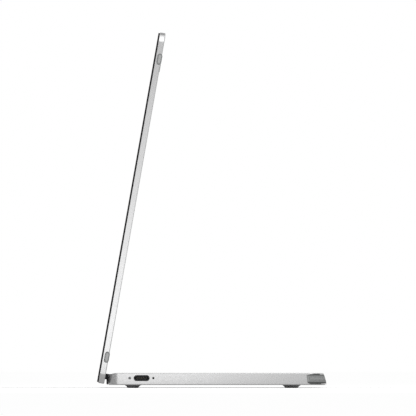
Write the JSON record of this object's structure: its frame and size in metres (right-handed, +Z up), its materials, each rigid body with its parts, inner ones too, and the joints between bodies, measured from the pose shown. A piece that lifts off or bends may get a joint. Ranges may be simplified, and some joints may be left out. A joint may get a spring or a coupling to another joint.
{
  "type": "portable monitor with folding stand base",
  "caption": "Slim portable monitor: a glass-fronted display lid hinged to an aluminium base that stands behind it as a foot and folds flat against its back.",
  "frame": {"origin": "centre of the footprint of the whole monitor at the table's surface, under the feet", "axes": "+X across the width, towards the wall with the USB-C socket; -Y where the screen faces; +Y from the screen over the base; +Z up"},
  "size_m": [0.3348, 0.133, 0.2064],
  "materials": {
    "anodised_casing": "fine bead-blasted and anodised, satin",
    "screw_steel": "plain zinc-plated steel",
    "foot_rubber": "matt dark grey",
    "pad_rubber": "matt mid grey",
    "black_plastic": "fine matt",
    "white_plastic": "moulded, plain",
    "chip_plastic": "moulded, plain",
    "circuit_board": "solder mask",
    "socket_steel": "dark plated",
    "shield_steel": "tinned sheet",
    "contact_gold": "gold plated",
    "light_lens": "clear moulded lens",
    "soft_pad": "soft silicone",
    "hinge_steel": "black-coated steel",
    "hinge_black": "moulded, fine texture",
    "shaft_steel": "turned and polished",
    "cable_jacket": "smooth sleeve",
    "ballast_steel": "rolled plate",
    "key_aluminium": "turned, anodised",
    "black_glass": "smooth, black border behind it",
    "screen_cell": "dark polariser",
    "film": "clear and white optical sheets",
    "panel_aluminium": "thin bare sheet"
  },
  "bodies": {
    "base": {"base_top_shell": "anodised_casing", "base_bottom_plate": "anodised_casing", "bottom_plate_screws": "screw_steel", "front_foot": "foot_rubber", "rear_foot": "foot_rubber", "base_corner_pad_right": "pad_rubber", "base_corner_pad_left": "pad_rubber", "usb_c_port_insert": "black_plastic", "usb_c_shell": "socket_steel", "usb_c_tongue": "black_plastic", "usb_c_contacts": "contact_gold", "status_light_lens": "light_lens", "status_led": "white_plastic", "main_board": "circuit_board", "scaler_chip": "chip_plastic", "power_chips": "chip_plastic", "board_coils_and_capacitors": "chip_plastic", "shield_can": "shield_steel", "thermal_pad": "soft_pad", "display_connector": "white_plastic", "button_connector": "white_plastic", "board_screws": "screw_steel", "hinge_bracket_right": "hinge_steel", "hinge_bracket_left": "hinge_steel", "hinge_bracket_screws": "screw_steel", "cable_knuckle": "hinge_black", "cable_knuckle_screws": "screw_steel", "display_cable_base": "cable_jacket", "ballast_plate_right": "ballast_steel", "ballast_plate_left": "ballast_steel", "ballast_screws": "screw_steel", "button_board": "circuit_board", "button_switches": "white_plastic", "button_cable": "white_plastic"},
    "lid": {"lid_back_tray": "anodised_casing", "cover_glass": "black_glass", "lcd_cell": "screen_cell", "diffuser_films": "film", "light_guide_plate": "film", "reflector_sheet": "film", "panel_back_plate": "panel_aluminium", "panel_frame": "black_plastic", "backlight_led_bar": "white_plastic", "panel_driver_board": "circuit_board", "panel_driver_chips": "chip_plastic", "lid_pads_right": "pad_rubber", "lid_pads_left": "pad_rubber", "hinge_spine_right": "hinge_black", "hinge_spine_left": "hinge_black", "hinge_shaft_right": "shaft_steel", "hinge_shaft_left": "shaft_steel", "hinge_arm_right": "hinge_steel", "hinge_arm_left": "hinge_steel", "hinge_arm_screws": "screw_steel", "hinge_disc_springs": "shaft_steel", "hinge_nuts": "shaft_steel", "display_cable_lid": "cable_jacket", "lid_cable_plug": "white_plastic"},
    "power_button": {"power_button": "key_aluminium"},
    "brightness_rocker": {"brightness_rocker": "key_aluminium"}
  },
  "joints": [
    {"name": "lid_hinge", "type": "hinge", "parent": "base", "child": "lid", "pos_m": [0, -0.05831, 0.0056], "axis": [1, 0, 0], "range_deg": [-80, 15]},
    {"name": "power_press", "type": "slide", "parent": "base", "child": "power_button", "axis": [1, 0, 0], "range_m": [0, 0.00035], "stiffness_N_per_m": 3000},
    {"name": "brightness_rock", "type": "hinge", "parent": "base", "child": "brightness_rocker", "pos_m": [-0.1649, -0.01431, 0.0058], "axis": [0, 0, 1], "range_deg": [-1.5, 1.5], "stiffness_Nm_per_rad": 0.15}
  ]
}
